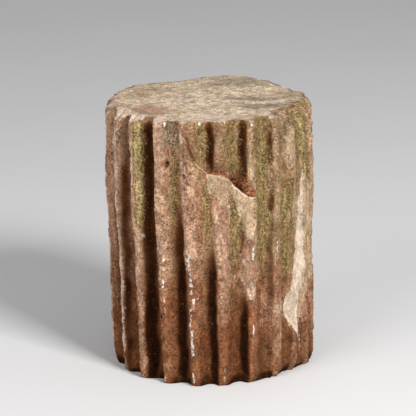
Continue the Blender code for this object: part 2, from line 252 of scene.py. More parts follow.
# Faces left by lost flakes: the colour that shows, its strength, whether it stays below the ledge,
# and rows of share, left bearing and right bearing
outlineSettings = [
    ("pink", 0.85, True, [
        (0.8, -1.6, 11.0), (0.762, -1.0, 11.0), (0.7, 0.5, 10.6), (0.62, 2.2, 10.8),
        (0.545, 4.2, 11.2), (0.47, 6.8, 11.0), (0.43, 8.5, 10.5),
    ]),
    ("bare", 0.85, True, [
        (0.8, -1.6, 11.0), (0.762, -1.0, 11.0), (0.73, 1.0, 10.0), (0.7, 5.0, 8.6),
    ]),
    ("bare", 0.95, True, [
        (0.79, 10.0, 26.6), (0.707, 14.0, 26.4), (0.66, 17.5, 26.2), (0.6, 19.5, 25.8),
        (0.565, 20.5, 25.5),
    ]),
    ("cream", 0.42, True, [
        (0.79, 10.0, 26.6), (0.735, 12.0, 26.4), (0.7, 14.0, 24.0), (0.685, 15.0, 20.0),
        (0.64, 18.2, 20.0),
    ]),
    ("pink", 0.85, False, [
        (0.58, 20.5, 26.0), (0.5, 18.6, 26.4), (0.42, 18.0, 26.8), (0.335, 20.5, 26.0),
    ]),
    ("red", 0.55, False, [
        (0.58, 20.6, 25.0), (0.555, 19.8, 25.4), (0.5, 20.5, 23.5),
    ]),
    ("bare", 0.50, False, [
        (0.44, 19.2, 23.0), (0.39, 18.4, 27.4), (0.345, 20.0, 27.4), (0.32, 24.0, 26.8),
    ]),
    ("cream", 0.62, False, [
        (0.47, 19.0, 20.4), (0.345, 24.2, 26.8),
    ]),
    ("cream", 0.58, False, [
        (0.4, 18.4, 19.6), (0.33, 22.0, 25.4),
    ]),
    ("cream", 0.50, False, [
        (0.68, 2.2, 3.4), (0.46, 9.4, 10.8),
    ]),
    ("cream", 0.55, False, [
        (0.7, 10.2, 11.2), (0.54, 10.8, 11.8),
    ]),
    ("red", 0.50, False, [
        (0.64, 6.2, 7.0), (0.56, 8.6, 9.4),
    ]),
    ("bare", 0.90, False, [
        (0.76, 64.0, 66.0), (0.715, 63.0, 74.0), (0.68, 61.5, 78.0), (0.66, 57.0, 78.0),
        (0.63, 55.5, 78.0), (0.605, 57.5, 82.0), (0.59, 61.5, 84.0), (0.55, 60.8, 87.0),
        (0.418, 59.5, 88.0), (0.34, 54.0, 80.0), (0.296, 48.5, 67.0), (0.194, 51.0, 61.8),
    ]),
    ("cream", 1.0, False, [
        (0.765, 64.2, 65.0), (0.725, 63.8, 65.2), (0.69, 62.8, 66.0), (0.6, 62.4, 66.6),
        (0.5, 61.4, 67.4), (0.439, 60.2, 67.8), (0.363, 58.0, 67.0), (0.332, 53.8, 65.0),
        (0.3, 49.0, 62.0), (0.265, 46.8, 60.0), (0.232, 47.8, 58.8), (0.206, 52.0, 58.5),
        (0.14, 56.4, 59.0),
    ]),
    ("bare", 0.74, False, [
        (0.87, -147, -141), (0.8, -155, -137), (0.71, -158, -139), (0.66, -164, -133),
        (0.57, -160, -136), (0.52, -151, -134), (0.46, -150, -143),
    ]),
    ("cream", 0.46, False, [
        (0.84, -147, -142), (0.74, -152, -146), (0.66, -151, -140), (0.58, -147, -141),
    ]),
    ("bare", 0.66, False, [
        (0.53, 124, 130), (0.45, 118, 132), (0.38, 120, 139), (0.3, 115, 141), (0.22, 123, 138),
        (0.15, 127, 131),
    ]),
    ("pink", 0.60, False, [
        (0.46, 122, 128), (0.36, 124, 136), (0.26, 119, 130),
    ]),
    ("bare", 0.75, False, [
        (0.94, 170, 181), (0.86, 166, 182), (0.8, 169, 186), (0.74, 171, 181), (0.67, 174, 178),
    ]),
    ("bare", 0.62, False, [
        (0.58, 90, 96), (0.53, 84, 101), (0.47, 86, 106), (0.42, 82, 102), (0.37, 91, 97),
    ]),
]

# Pale bruises along the ridges: lower bearing and share, upper bearing and share, breadth, strength
bruiseSettings = [
    (-27.0, 0.24, -27.0, 0.6, 0.75, 0.62), (-12.4, 0.46, -12.2, 0.5, 1.2, 1.0),
    (-11.4, 0.36, -11.6, 0.44, 0.9, 0.8), (-10.2, 0.31, -10.2, 0.33, 1.3, 0.95),
    (-12.0, 0.22, -12.0, 0.3, 0.8, 0.75), (-11.0, 0.13, -11.5, 0.21, 1.2, 0.95),
    (-10.8, 0.025, -10.8, 0.045, 1.0, 0.75), (5.4, 0.35, 5.4, 0.375, 0.6, 0.75),
    (6.6, 0.03, 6.8, 0.07, 0.7, 0.7), (24.2, 0.19, 24.5, 0.22, 0.8, 0.85),
    (24.6, 0.485, 24.6, 0.515, 1.0, 1.1), (41.1, 0.47, 41.0, 0.52, 0.6, 0.8),
    (61.5, 0.08, 61.0, 0.15, 0.7, 0.8), (73.0, 0.09, 73.0, 0.17, 1.4, 1.05),
    (-27.6, 0.01, -27.6, 0.03, 0.8, 0.7), (-25.0, 0.99, -25.0, 0.999, 0.8, 0.85),
    (-5.0, 0.992, -5.0, 0.999, 1.0, 0.85), (8.5, 0.992, 8.5, 0.999, 1.1, 0.85),
    (24.5, 0.99, 24.3, 1.0, 1.0, 1.0), (41.0, 0.24, 41.0, 0.27, 0.6, 0.6),
    (-64.0, 0.3, -63.0, 0.48, 0.8, 0.6),
]

# Tones of the top face, by mask: X, Y, spread along X and Y, strength
topPaint = {
    "grey": [
        (0.09, -0.036, 0.055, 0.018, 1.4), (0.075, 0.006, 0.06, 0.016, 1.1),
        (0.135, 0.04, 0.035, 0.05, 0.8), (-0.1, 0.075, 0.06, 0.035, 0.6),
        (0.05, 0.115, 0.075, 0.032, 1.0), (-0.12, 0.03, 0.03, 0.03, 0.7),
        (0.0, 0.07, 0.05, 0.012, 0.5),
    ],
    "red": [
        (-0.105, -0.076, 0.04, 0.036, 1.3), (-0.11, 0.045, 0.055, 0.05, 0.6),
        (0.02, 0.1, 0.02, 0.01, 0.4),
    ],
    "moss": [
        (0.06, 0.15, 0.06, 0.02, 0.7), (0.12, 0.08, 0.03, 0.03, 0.5),
    ],
    "cream": [
        (0.01, -0.12, 0.08, 0.035, 0.9), (-0.03, -0.01, 0.06, 0.02, 0.8),
        (0.1, 0.045, 0.04, 0.012, 0.7), (0.103, -0.095, 0.028, 0.018, 1.2),
    ],
}


def mix(low, high, part):
    return low + (high - low) * part


def clamp(value, low=0.0, high=1.0):
    return max(low, min(high, value))


def smooth(low, high, value):
    part = clamp((value - low) / (high - low))
    return part * part * (3 - 2 * part)


def turnBetween(bearing, other):
    return (bearing - other + 180) % 360 - 180


def bell(distance, spread):
    return math.exp(-((distance / spread) ** 2))


def between(rows, value):
    # reads a list of rows at a value of their first number
    if value <= rows[0][0]:
        return rows[0][1:]
    for near, far in zip(rows, rows[1:]):
        if value <= far[0]:
            part = (value - near[0]) / (far[0] - near[0])
            return [mix(a, b, part) for a, b in zip(near[1:], far[1:])]
    return rows[-1][1:]


frontFlutes = len(fluteSettings["ridgesFoot"]) - 1
fluteCount = frontFlutes + fluteSettings["backFlutes"]
frontTotal = frontFlutes * blockSettings["frontColumns"]
columnCount = frontTotal + fluteSettings["backFlutes"] * blockSettings["backColumns"]
paintOfFlute = [[] for index in range(fluteCount)]
for maskName, maskRows in flutePaint.items():
    for flute, *maskRow in maskRows:
        paintOfFlute[flute].append((maskName, *maskRow))
maskNames = ["moss", "grimeAndShade", "cream", "pink", "bare", "red", "grey"]
maskNames += ["hollow", "bruise", "stainAndBounceLight", "tan", "top"]


def ridgeBearing(index, share):
    foot, head = fluteSettings["ridgesFoot"], fluteSettings["ridgesHead"]
    if index <= frontFlutes:
        bearing = mix(foot[index], head[index], share)
    else:
        last = mix(foot[-1], head[-1], share)
        first = mix(foot[0], head[0], share) + 360
        bearing = mix(last, first, (index - frontFlutes) / fluteSettings["backFlutes"])
    slow, quick = fluteSettings["wander"]
    line = index % fluteCount * 7.3
    bearing += slow * noise.noise(Vector((line, share * 4.5, 1.7)))
    return bearing + quick * noise.noise(Vector((line, share * 19, 6.1)))


def columnPlace(column):
    # which flute a column of the mesh is in, and how far across it
    if column < frontTotal:
        index, step = divmod(column, blockSettings["frontColumns"])
        return index, step / blockSettings["frontColumns"]
    index, step = divmod(column - frontTotal, blockSettings["backColumns"])
    return frontFlutes + index, step / blockSettings["backColumns"]


def drumRadius(bearing, share):
    radius = mix(blockSettings["footRadius"], blockSettings["headRadius"], share)
    belly = bell(share - blockSettings["bellyShare"], blockSettings["bellySpread"])
    radius += blockSettings["bellySwell"] * belly
    for place, spread, depth in blockSettings["planFlats"]:
        radius -= depth * bell(turnBetween(bearing, place), spread)
    return radius


def fluteCut(index, part, share):
    # depth of the flute here, and how far down its hollow this is
    depth = fluteSettings["backDepth"]
    if index < frontFlutes:
        depth = mix(fluteSettings["depthsFoot"][index], fluteSettings["depthsHead"][index], share)
        for flute, middle, spread, lost in fluteSettings["shallows"]:
            if flute == index:
                depth *= 1 - lost * bell(share - middle, spread)
        part -= fluteSettings["skew"] * math.sin(math.pi * part)
    depth *= 1 + 0.16 * noise.noise(Vector((index * 5.1, share * 5, 4.0)))
    fromMiddle = clamp(abs(2 * part - 1))
    hollow = 0.5 + 0.5 * math.cos(math.pi * fromMiddle ** fluteSettings["breadth"])
    return depth * hollow, hollow


def edgeCut(fromEdge, bearing, places, ragged):
    deepest = 0.0
    for place, spread, reachIn, reachAlong, roundness in places:
        nearness = bell(turnBetween(bearing, place), spread) * ragged
        if fromEdge < reachAlong * nearness:
            climb = clamp(1 - fromEdge / (reachAlong * nearness))
            slope = mix(climb, 1 - math.sqrt(1 - climb * climb), roundness)
            deepest = max(deepest, reachIn * nearness * slope)
    return deepest


def ledgeAt(bearing):
    # share of the lip and depth of the hollow above it
    lip = ledgeSettings["lip"]
    if bearing <= lip[0][0] or bearing >= lip[-1][0]:
        return ledgeSettings["elsewhere"], 0.0
    share, cavity = between(lip, bearing)
    stray = noise.noise(Vector((bearing * 0.55, 3.0, 2.0)))
    stray += 0.6 * noise.noise(Vector((bearing * 1.7, 9.0, 2.0)))
    return share + ledgeSettings["chatter"] * stray, cavity


def shareAtStep(bearing, step):
    # rows near the ledge follow its lip, so that the lip stays crisp
    lip = ledgeAt(bearing)[0]
    away = abs(turnBetween(bearing, ledgeSettings["middle"])) - ledgeSettings["rowsFollow"]
    away = max(0.0, away) / ledgeSettings["rowsFade"]
    lip = mix(lip, ledgeSettings["elsewhere"], smooth(0, 1, away))
    over = lip + ledgeSettings["step"]
    lipStep, overStep = ledgeSettings["meshSteps"]
    if step <= lipStep:
        return step * lip / lipStep
    if step <= overStep:
        return mix(lip, over, (step - lipStep) / (overStep - lipStep))
    return mix(over, 1.0, (step - overStep) / (1.0 - overStep))


def makeChips():
    # small losses along each ridge, the same on every run
    draw = random.Random(chipSettings["seed"])
    chips = []
    for ridge in range(fluteCount):
        row = []
        for number in range(chipSettings["perRidge"]):
            row.append({
                "share": draw.uniform(0.01, 0.99),
                "aside": draw.uniform(-0.07, 0.07),
                "length": draw.uniform(*chipSettings["length"]),
                "breadth": draw.uniform(*chipSettings["breadth"]),
                "depth": draw.uniform(*chipSettings["depth"]),
            })
        chips.append(row)
    return chips


ridgeChips = makeChips()


def chipCut(index, part, share, pitch):
    # depth of the chips that reach this place
    deepest = 0.0
    if 0.2 < part < 0.8:
        return deepest
    for ridge, across in ((index, part), (index + 1, part - 1)):
        for chip in ridgeChips[ridge % fluteCount]:
            along = (share - chip["share"]) * blockSettings["height"] / chip["length"]
            if abs(along) > 1:
                continue
            aside = (across - chip["aside"]) * pitch / chip["breadth"]
            reach = 1 - along * along - aside * aside
            if reach > 0:
                deepest = max(deepest, chip["depth"] * reach ** 0.6)
    return deepest


def flakeRadius(bearing, share, lip, drum):
    # the radius that the nearest lost flake leaves, or None where there is none
    lowest = None
    if share <= lip + ledgeSettings["step"] / 2:
        for upper, lower, foot, depth, narrow in flakeSettings["underLedge"]:
            if share > foot:
                climb = min(1, (share - foot) / (lip - foot))
                aside = turnBetween(bearing, mix(lower, upper, climb)) * narrow
                if abs(aside) < 80:
                    floor = (drum - depth * climb) / math.cos(math.radians(aside))
                    lowest = floor if lowest is None else min(lowest, floor)
    for middle, turn, height, half, depth, narrow in flakeSettings["elsewhere"]:
        along = (share - height) / half
        if abs(along) < 1:
            aside = turnBetween(bearing, middle - turn * along) * narrow
            if abs(aside) < 80:
                floor = (drum - depth * (1 - along * along)) / math.cos(math.radians(aside))
                lowest = floor if lowest is None else min(lowest, floor)
    return lowest


def stoneRoughness(point, bearing, hollow):
    # uneven stone: slow swells, tool marks in the flutes, and grain
    swell = 0.0013 * noise.noise(point / 0.055) + 0.0008 * noise.noise(point / 0.018)
    marks = 0.0009 * noise.noise(Vector((bearing * 0.6, point.z * 24, 2.0))) * hollow
    grain = 0.0007 * noise.noise(point / 0.0085) + 0.0005 * noise.noise(point / 0.0045)
    return swell + marks + grain


def crackDepth(bearing, share):
    # depth of the crack nearest to this place
    deepest = 0.0
    for corners, half, depth in crackSettings:
        if abs(turnBetween(bearing, corners[0][0])) > 25:
            continue
        if share > corners[0][1] + 0.02 or share < corners[-1][1] - 0.02:
            continue
        line = between([(-height, place) for place, height in corners], -share)[0]
        aside = turnBetween(bearing, line) + 0.5 * noise.noise(Vector((share * 60, corners[0][0], 2.0)))
        ends = clamp(min(corners[0][1] + 0.02 - share, share - corners[-1][1] + 0.02) / 0.02)
        deepest = max(deepest, depth * bell(aside, half) * ends)
    return deepest


def paintMasks(index, part, bearing, share, place, hollow, lip, cavity):
    # how much of each tone lies here, before noise in the material breaks its edges
    masks = dict.fromkeys(maskNames, 0.0)
    # soil hides the pale ridges under the rim and round the right side
    soil = 0.85 * smooth(0.80, 0.88, share) * smooth(-20, -12, bearing) * smooth(36, 28, bearing)
    soil = max(soil, 0.60 * smooth(28, 34, bearing) * smooth(75, 60, bearing) * smooth(0.24, 0.34, share))
    masks["hollow"] = max(hollow, soil)
    slow = noise.noise(place / 0.09)
    quick = noise.noise(place / 0.022)
    rise = share + 0.30 * slow + 0.10 * quick + 0.18 * smooth(40, 62, bearing) * smooth(150, 100, bearing)
    onLeft = smooth(-25, -75, bearing) * smooth(0.95, 0.7, rise)
    onRight = smooth(20, 36, bearing) * smooth(92, 76, bearing)
    # redder and darker low down: partly stain, partly painted red bounce light from a floor; more of it on
    # the left, less low on the right
    masks["stainAndBounceLight"] = clamp(smooth(0.70, 0.16, rise) + 0.20 * onLeft) * (1 - 0.22 * onRight)
    tan = smooth(-9, 18, bearing + 9 * quick) * smooth(175, 140, bearing)
    masks["tan"] = clamp(tan * smooth(0.34, 0.62, share + 0.1 * quick) + 0.3 * slow)
    # darker towards the foot and low on the shaft
    atFoot = 0.95 * smooth(0.060, 0.0, share + 0.02 * quick)
    masks["grimeAndShade"] = max(atFoot, 0.34 * smooth(0.34, 0.08, share + 0.1 * quick))
    # on the hidden back: moss, and a dark band down each flute that is grime and painted shade
    if index >= frontFlutes:
        mossy = smooth(0.42, 0.72, rise + 0.25 * noise.noise(place / 0.14))
        masks["moss"] = 0.95 * bell(part - 0.38, 0.30) * mossy
        masks["grimeAndShade"] = max(masks["grimeAndShade"], 0.85 * bell(part - 0.55, 0.24) * smooth(1.0, 0.75, rise))
    sway = 0.09 * noise.noise(Vector((index * 3.1, share * 8, 8.0))) + 0.06 * quick
    stray = share + 0.07 * noise.noise(Vector((bearing * 0.25, share * 9, 3.0))) + 0.03 * quick
    for name, lowPart, highPart, spread, low, high, strength in paintOfFlute[index]:
        middle = mix(lowPart, highPart, clamp((share - low) / (high - low)))
        reach = smooth(low - 0.05, low + 0.05, stray)
        if high > 0.95:
            reach *= 1 - smooth(high - 0.02, high + 0.03, share)
        else:
            reach *= smooth(high + 0.06, high - 0.10, stray)
        aside = part + sway - middle
        masks[name] = max(masks[name], strength * bell(aside, spread) * reach)
    for name, patches in patchSettings.items():
        for middle, centre, breadth, length, strength in patches:
            aside = turnBetween(bearing, middle) / breadth
            along = (share - centre) / length
            if abs(aside) < 2 and abs(along) < 2:
                masks[name] = max(masks[name], strength * math.exp(-aside * aside - along * along))

    # the crests are rubbed pale, and more so towards the left, where the extra paleness is a painted
    # highlight
    crest = (1 - hollow) ** 4
    rubbedAndLit = crest * clamp(0.55 + 0.9 * noise.noise(Vector((index + round(part), share * 11, 6.0))))
    masks["pink"] = max(masks["pink"], rubbedAndLit * (0.15 + 0.85 * smooth(-18, -50, bearing)))
    # pale crests along the left edge: painted highlight over worn stone
    leftEdge = smooth(-40, -56, bearing) * smooth(-108, -92, bearing)
    masks["cream"] = max(masks["cream"], (0.45 + 0.55 * rubbedAndLit) * crest * leftEdge)
    masks["grimeAndShade"] *= 1 - 0.9 * crest

    wander = 0.9 * noise.noise(Vector((bearing * 0.2, share * 26, 4.0))) + 0.7 * quick
    for name, strength, belowLedge, rows in outlineSettings:
        if share > rows[0][0] + 0.01 or share < rows[-1][0] - 0.01:
            continue
        if belowLedge and share > lip + 0.3 * ledgeSettings["step"]:
            continue
        left, right = between([(-row[0],) + row[1:] for row in rows], -share)
        inside = min(turnBetween(bearing, left), turnBetween(right, bearing)) + wander
        soft = 0.5 if abs(bearing) < 80 else 2.6    # breaks on the hidden sides are older
        amount = strength * smooth(-soft, soft, inside)
        masks[name] = max(masks[name], amount)
        masks["moss"] *= 1 - 0.85 * amount
        masks["grimeAndShade"] *= 1 - 0.80 * amount

    if cavity > 0:
        above = share - lip
        strength = clamp(cavity / 0.007)
        reach, redness, paleness = between(ledgeSettings["red"], bearing)
        if above > 0.25 * ledgeSettings["step"]:
            reach *= 1.5 + 0.8 * noise.noise(Vector((bearing * 0.45, 5.0, 1.0)))
            red = strength * redness * smooth(reach, 0.3 * reach, above - 0.25 * ledgeSettings["step"])
            masks["red"] = max(masks["red"], red)
            masks["moss"] *= 1 - 0.9 * red
        elif above > -0.004:
            # the lip is painted pale: fresh stone, and in part a painted highlight on its up-facing edge
            masks["cream"] = max(masks["cream"], 0.95 * strength * paleness)
            masks["red"] = max(masks["red"], 0.8 * strength * redness * (1 - paleness))
    for lowBearing, lowShare, highBearing, highShare, breadth, strength in bruiseSettings:
        if lowShare - 0.01 <= share <= highShare + 0.01:
            line = mix(lowBearing, highBearing, (share - lowShare) / (highShare - lowShare))
            masks["bruise"] = max(masks["bruise"], strength * bell(turnBetween(bearing, line), breadth))
    return masks


def facePoint(column, step):
    # radius of the stone's face and the masks that colour it
    index, part = columnPlace(column)
    guess = mix(ridgeBearing(index, 0.8), ridgeBearing(index + 1, 0.8), part)
    share = shareAtStep(turnBetween(guess, 0), step)
    near, far = ridgeBearing(index, share), ridgeBearing(index + 1, share)
    bearing = turnBetween(mix(near, far, part), 0)
    height = share * blockSettings["height"]
    drum = drumRadius(bearing, share)
    pitch = math.radians(far - near) * drum
    angle = math.radians(bearing)
    mean = blockSettings["meanRadius"]
    place = Vector((math.sin(angle) * mean, -math.cos(angle) * mean, height))

    cut, hollow = fluteCut(index, part, share)
    rough = stoneRoughness(place, bearing, hollow)
    radius = drum - cut + rough

    # the worn ridges lose bites of different lengths
    ridge = index + round(part)
    bite = noise.noise(Vector((ridge * 3.3, height / 0.024, 5.0)))
    bite += 0.6 * noise.noise(Vector((ridge * 3.3, height / 0.009, 15.0)))
    crest = (1 - hollow) ** 3
    radius -= 0.0034 * max(0.0, bite) * crest
    chip = chipCut(index, part, share, pitch)
    if chip > 0:
        radius = min(radius, drum - 0.0006 - chip + 0.5 * rough)

    lip, cavity = ledgeAt(bearing)
    if share > lip + ledgeSettings["step"] / 2 and cavity > 0:
        radius -= cavity * max(0.0, 1 - (share - lip) / ledgeSettings["reach"])
    floor = flakeRadius(bearing, share, lip, drum)
    if floor is not None:
        ripple = noise.noise(Vector((bearing * 0.35, share * 22, 9.0))) + 0.5 * noise.noise(place / 0.007)
        radius = min(radius, floor + flakeSettings["ripple"] * ripple)

    slow, quick = edgeSettings["raggedness"]
    ragged = 1 + slow * noise.noise(Vector((bearing * 0.09, 1.0, 3.0)))
    ragged += quick * noise.noise(Vector((bearing * 0.4, 1.0, 8.0)))
    rim = edgeCut(blockSettings["height"] - height, bearing, edgeSettings["rim"], ragged)
    foot = edgeCut(height, bearing, edgeSettings["foot"], ragged)
    masks = paintMasks(index, part, bearing, share, place, hollow, lip, cavity)
    crumbled = clamp(chip / 0.0022) * (0.50 if ridge in (3, 4) else 0.25)
    masks["cream"] = max(masks["cream"], crumbled * (1 - 0.5 * masks["stainAndBounceLight"]))
    worn = drum - max(rim, foot) + rough
    if worn < radius:
        if rim > foot:
            bare = clamp((radius - worn) / 0.0035) * smooth(0.950, 0.990, share)
            bare *= 1 - 0.7 * bell(turnBetween(bearing, 74), 34)
            masks["cream"] = max(masks["cream"], 0.75 * bare)
            masks["moss"] *= 1 - 0.7 * bare
            masks["grimeAndShade"] *= 1 - 0.8 * bare
        radius = worn

    for pitBearing, pitShare, size, depth in pitSettings:
        along = (share - pitShare) * blockSettings["height"] / size
        if abs(along) < 2:
            aside = math.radians(turnBetween(bearing, pitBearing)) * mean / size
            if abs(aside) < 2:
                dent = math.exp(-along * along - aside * aside)
                radius -= depth * dent
                # painted shade inside each pit
                masks["grimeAndShade"] = max(masks["grimeAndShade"], dent)
    crack = crackDepth(bearing, share)
    radius -= crack
    # painted shade along each crack
    masks["grimeAndShade"] = max(masks["grimeAndShade"], clamp(crack / 0.0015))
    return bearing, radius, share, masks


def topHeight(x, y):
    rise = 0.0
    for swellX, swellY, height, spread in topSettings["swells"]:
        rise += height * bell(math.hypot(x - swellX, y - swellY), spread)
    return rise + 0.0013 * noise.noise(Vector((x, y, 0)) / 0.055)


def topGrain(x, y):
    # torn layers that run from side to side, as low terraces, and coarse grain
    along, across = topSettings["beddingAlong"], topSettings["beddingAcross"]
    sweep = 2.2 * noise.noise(Vector((x * along, y * across, 1.5)))
    sweep += 0.5 * noise.noise(Vector((x * 40, y * 60, 7.5)))
    terrace = math.floor(sweep) + smooth(0.15, 0.85, sweep - math.floor(sweep))
    grain = noise.noise(Vector((x * 70, y * 95, 3.0)))
    grain += 0.6 * noise.noise(Vector((x * 160, y * 200, 5.0)))
    return topSettings["bedding"] * terrace + topSettings["grain"] * grain


def topMasks(x, y):
    masks = dict.fromkeys(maskNames, 0.0)
    wanderX = 0.018 * noise.noise(Vector((x * 30, y * 50, 2.0)))
    wanderY = 0.010 * noise.noise(Vector((x * 30, y * 50, 12.0)))
    for name, tones in topPaint.items():
        for middleX, middleY, spreadX, spreadY, strength in tones:
            amount = strength * bell(x + wanderX - middleX, spreadX) * bell(y + wanderY - middleY, spreadY)
            masks[name] = max(masks[name], amount)
    masks["top"] = 1.0
    return masks


def plainDrum():
    # a drum of radius 1 and height 1, turned from its profile
    drum = bmesh.new()
    rows = blockSettings["sideSteps"]
    steps = {i / rows for i in range(rows + 1)}
    steps = sorted(steps | blockSettings["extraSteps"])
    profile = [drum.verts.new((1, 0, step)) for step in steps]
    rings = blockSettings["topSteps"]
    profile += [drum.verts.new(((1 - i / rings) ** 1.15, 0, 1)) for i in range(1, rings + 1)]
    edges = [drum.edges.new(pair) for pair in zip(profile, profile[1:])]
    bmesh.ops.spin(drum, geom=profile + edges, cent=(0, 0, 0), axis=(0, 0, 1), dvec=(0, 0, 0),
                   angle=math.tau, steps=columnCount, use_merge=True, use_duplicate=False)
    bmesh.ops.remove_doubles(drum, verts=drum.verts, dist=0.00001)
    rim = [edge for edge in drum.edges if edge.is_boundary]
    bmesh.ops.holes_fill(drum, edges=rim, sides=0)
    bmesh.ops.recalc_face_normals(drum, faces=drum.faces)
    return drum


def makeStone():
    drum = plainDrum()
    layers = {name: drum.verts.layers.float.new(name) for name in maskNames}
    rims = {}
    for corner in drum.verts:
        step = corner.co.z
        inwards = math.hypot(corner.co.x, corner.co.y)
        column = round(math.atan2(corner.co.y, corner.co.x) / math.tau * columnCount) % columnCount
        onTop = step > 0.99999
        if not onTop or column not in rims:
            point = facePoint(column, step)
            if onTop:
                rims[column] = point
        else:
            point = rims[column]
        bearing, radius, share, masks = point
        angle = math.radians(bearing)
        radius *= inwards
        x = blockSettings["headLean"] * (share - 0.5) + radius * math.sin(angle)
        y = -radius * math.cos(angle)
        z = share * blockSettings["height"] + topHeight(x, y) * share ** 6
        if onTop:
            inner = smooth(1.0, 0.94, inwards)
            z += topGrain(x, y) * inner
            over = topMasks(x, y)
            masks = {name: mix(masks[name], over[name], inner) for name in maskNames}
        corner.co = (x, y, z)
        for name, value in masks.items():
            corner[layers[name]] = value

    # the block stands where the frame has it, inside the frame's box
    low = [min(corner.co[axis] for corner in drum.verts) for axis in range(3)]
    high = [max(corner.co[axis] for corner in drum.verts) for axis in range(3)]
    shiftX = (blockLow[0] + blockHigh[0] - low[0] - high[0]) / 2
    shiftY = (blockLow[1] + blockHigh[1] - low[1] - high[1]) / 2
    bmesh.ops.translate(drum, verts=drum.verts, vec=(shiftX, shiftY, blockLow[2] - low[2]))
    for corner in drum.verts:
        for axis in range(3):
            corner.co[axis] = clamp(corner.co[axis], blockLow[axis], blockHigh[axis])

    mesh = bpy.data.meshes.new("fluted_stone")
    drum.to_mesh(mesh)
    drum.free()
    mesh.shade_smooth()
    stone = bpy.data.objects.new("fluted_stone", mesh)
    bpy.context.scene.collection.objects.link(stone)
    return stone


# Material


def socketSet(node, values):
    for name, value in values.items():
        node.inputs[name].default_value = value


def addNode(tree, kind, values=None, **settings):
    node = tree.nodes.new(kind)
    for name, value in settings.items():
        setattr(node, name, value)
    socketSet(node, values or {})
    return node


def maths(tree, operation, first, second=None, limit=False):
    node = addNode(tree, "ShaderNodeMath", operation=operation, use_clamp=limit)
    for socket, value in zip(node.inputs, (first, second)):
        if value is None:
            continue
        if isinstance(value, (int, float)):
            socket.default_value = value
        else:
            tree.links.new(value, socket)
    return node.outputs[0]


def ramp(tree, value, low, high, outLow=0.0, outHigh=1.0):
    node = addNode(tree, "ShaderNodeMapRange", interpolation_type="SMOOTHSTEP")
    socketSet(node, {"From Min": low, "From Max": high, "To Min": outLow, "To Max": outHigh})
    tree.links.new(value, node.inputs["Value"])
    return node.outputs["Result"]


def tint(tree, factor, under, over, kind="MIX"):
    # lays a colour, or another branch, over what is there
    node = addNode(tree, "ShaderNodeMix", data_type="RGBA", blend_type=kind)
    for socket, value in ((node.inputs[0], factor), (node.inputs[6], under), (node.inputs[7], over)):
        if isinstance(value, (int, float)):
            socket.default_value = value
        elif isinstance(value, tuple):
            socket.default_value = (*value, 1)
        else:
            tree.links.new(value, socket)
    return node.outputs[2]


def noiseAt(tree, coordinates, scale, detail=4.0, roughness=0.6, stretch=(1, 1, 1), distortion=0.0):
    mapping = addNode(tree, "ShaderNodeMapping", {"Scale": stretch})
    tree.links.new(coordinates, mapping.inputs["Vector"])
    values = {"Scale": scale, "Detail": detail, "Roughness": roughness, "Distortion": distortion}
    node = addNode(tree, "ShaderNodeTexNoise", values)
    tree.links.new(mapping.outputs["Vector"], node.inputs["Vector"])
    return node.outputs["Fac"]


def brokenEdge(tree, mask, grain, amount, low, high, most=1.0):
    # a mask whose edge is broken up by a noise
    stray = maths(tree, "MULTIPLY", maths(tree, "SUBTRACT", grain, 0.5), amount)
    return ramp(tree, maths(tree, "ADD", mask, stray), low, high, 0.0, most)


def makeSpeckleGroup():
    # crumbly stone: a mottling value, dark pores, pale grains and a height
    group = bpy.data.node_groups.new("stoneSpeckle", "ShaderNodeTree")
    face = group.interface
    face.new_socket(name="Vector", in_out="INPUT", socket_type="NodeSocketVector")
    for name, value in (("Mottle Scale", 275.0), ("Grain Scale", 460.0), ("Pore Scale", 380.0)):
        socket = face.new_socket(name=name, in_out="INPUT", socket_type="NodeSocketFloat")
        socket.default_value = value
    for name in ("Mottle", "Pores", "Grains", "Height"):
        face.new_socket(name=name, in_out="OUTPUT", socket_type="NodeSocketFloat")
    way = group.nodes.new("NodeGroupInput")
    out = group.nodes.new("NodeGroupOutput")

    def groupNoise(scale, detail, roughness, distortion):
        values = {"Detail": detail, "Roughness": roughness, "Distortion": distortion}
        node = addNode(group, "ShaderNodeTexNoise", values)
        group.links.new(way.outputs["Vector"], node.inputs["Vector"])
        group.links.new(way.outputs[scale], node.inputs["Scale"])
        return node.outputs["Fac"]

    mottle = groupNoise("Mottle Scale", 5.0, 0.75, 0.4)
    fine = groupNoise("Grain Scale", 3.0, 0.7, 0.0)
    worms = groupNoise("Pore Scale", 3.0, 0.65, 0.9)
    pores = maths(group, "MULTIPLY", ramp(group, worms, 0.44, 0.33), ramp(group, mottle, 0.62, 0.44))
    grains = maths(group, "MULTIPLY", ramp(group, fine, 0.54, 0.70), ramp(group, mottle, 0.42, 0.60))
    grit = maths(group, "ADD", mottle, maths(group, "MULTIPLY", fine, 0.5))
    height = maths(group, "SUBTRACT", grit, pores)
    for name, value in (("Mottle", mottle), ("Pores", pores), ("Grains", grains), ("Height", height)):
        group.links.new(value, out.inputs[name])
    return group


speckleGroup = makeSpeckleGroup()

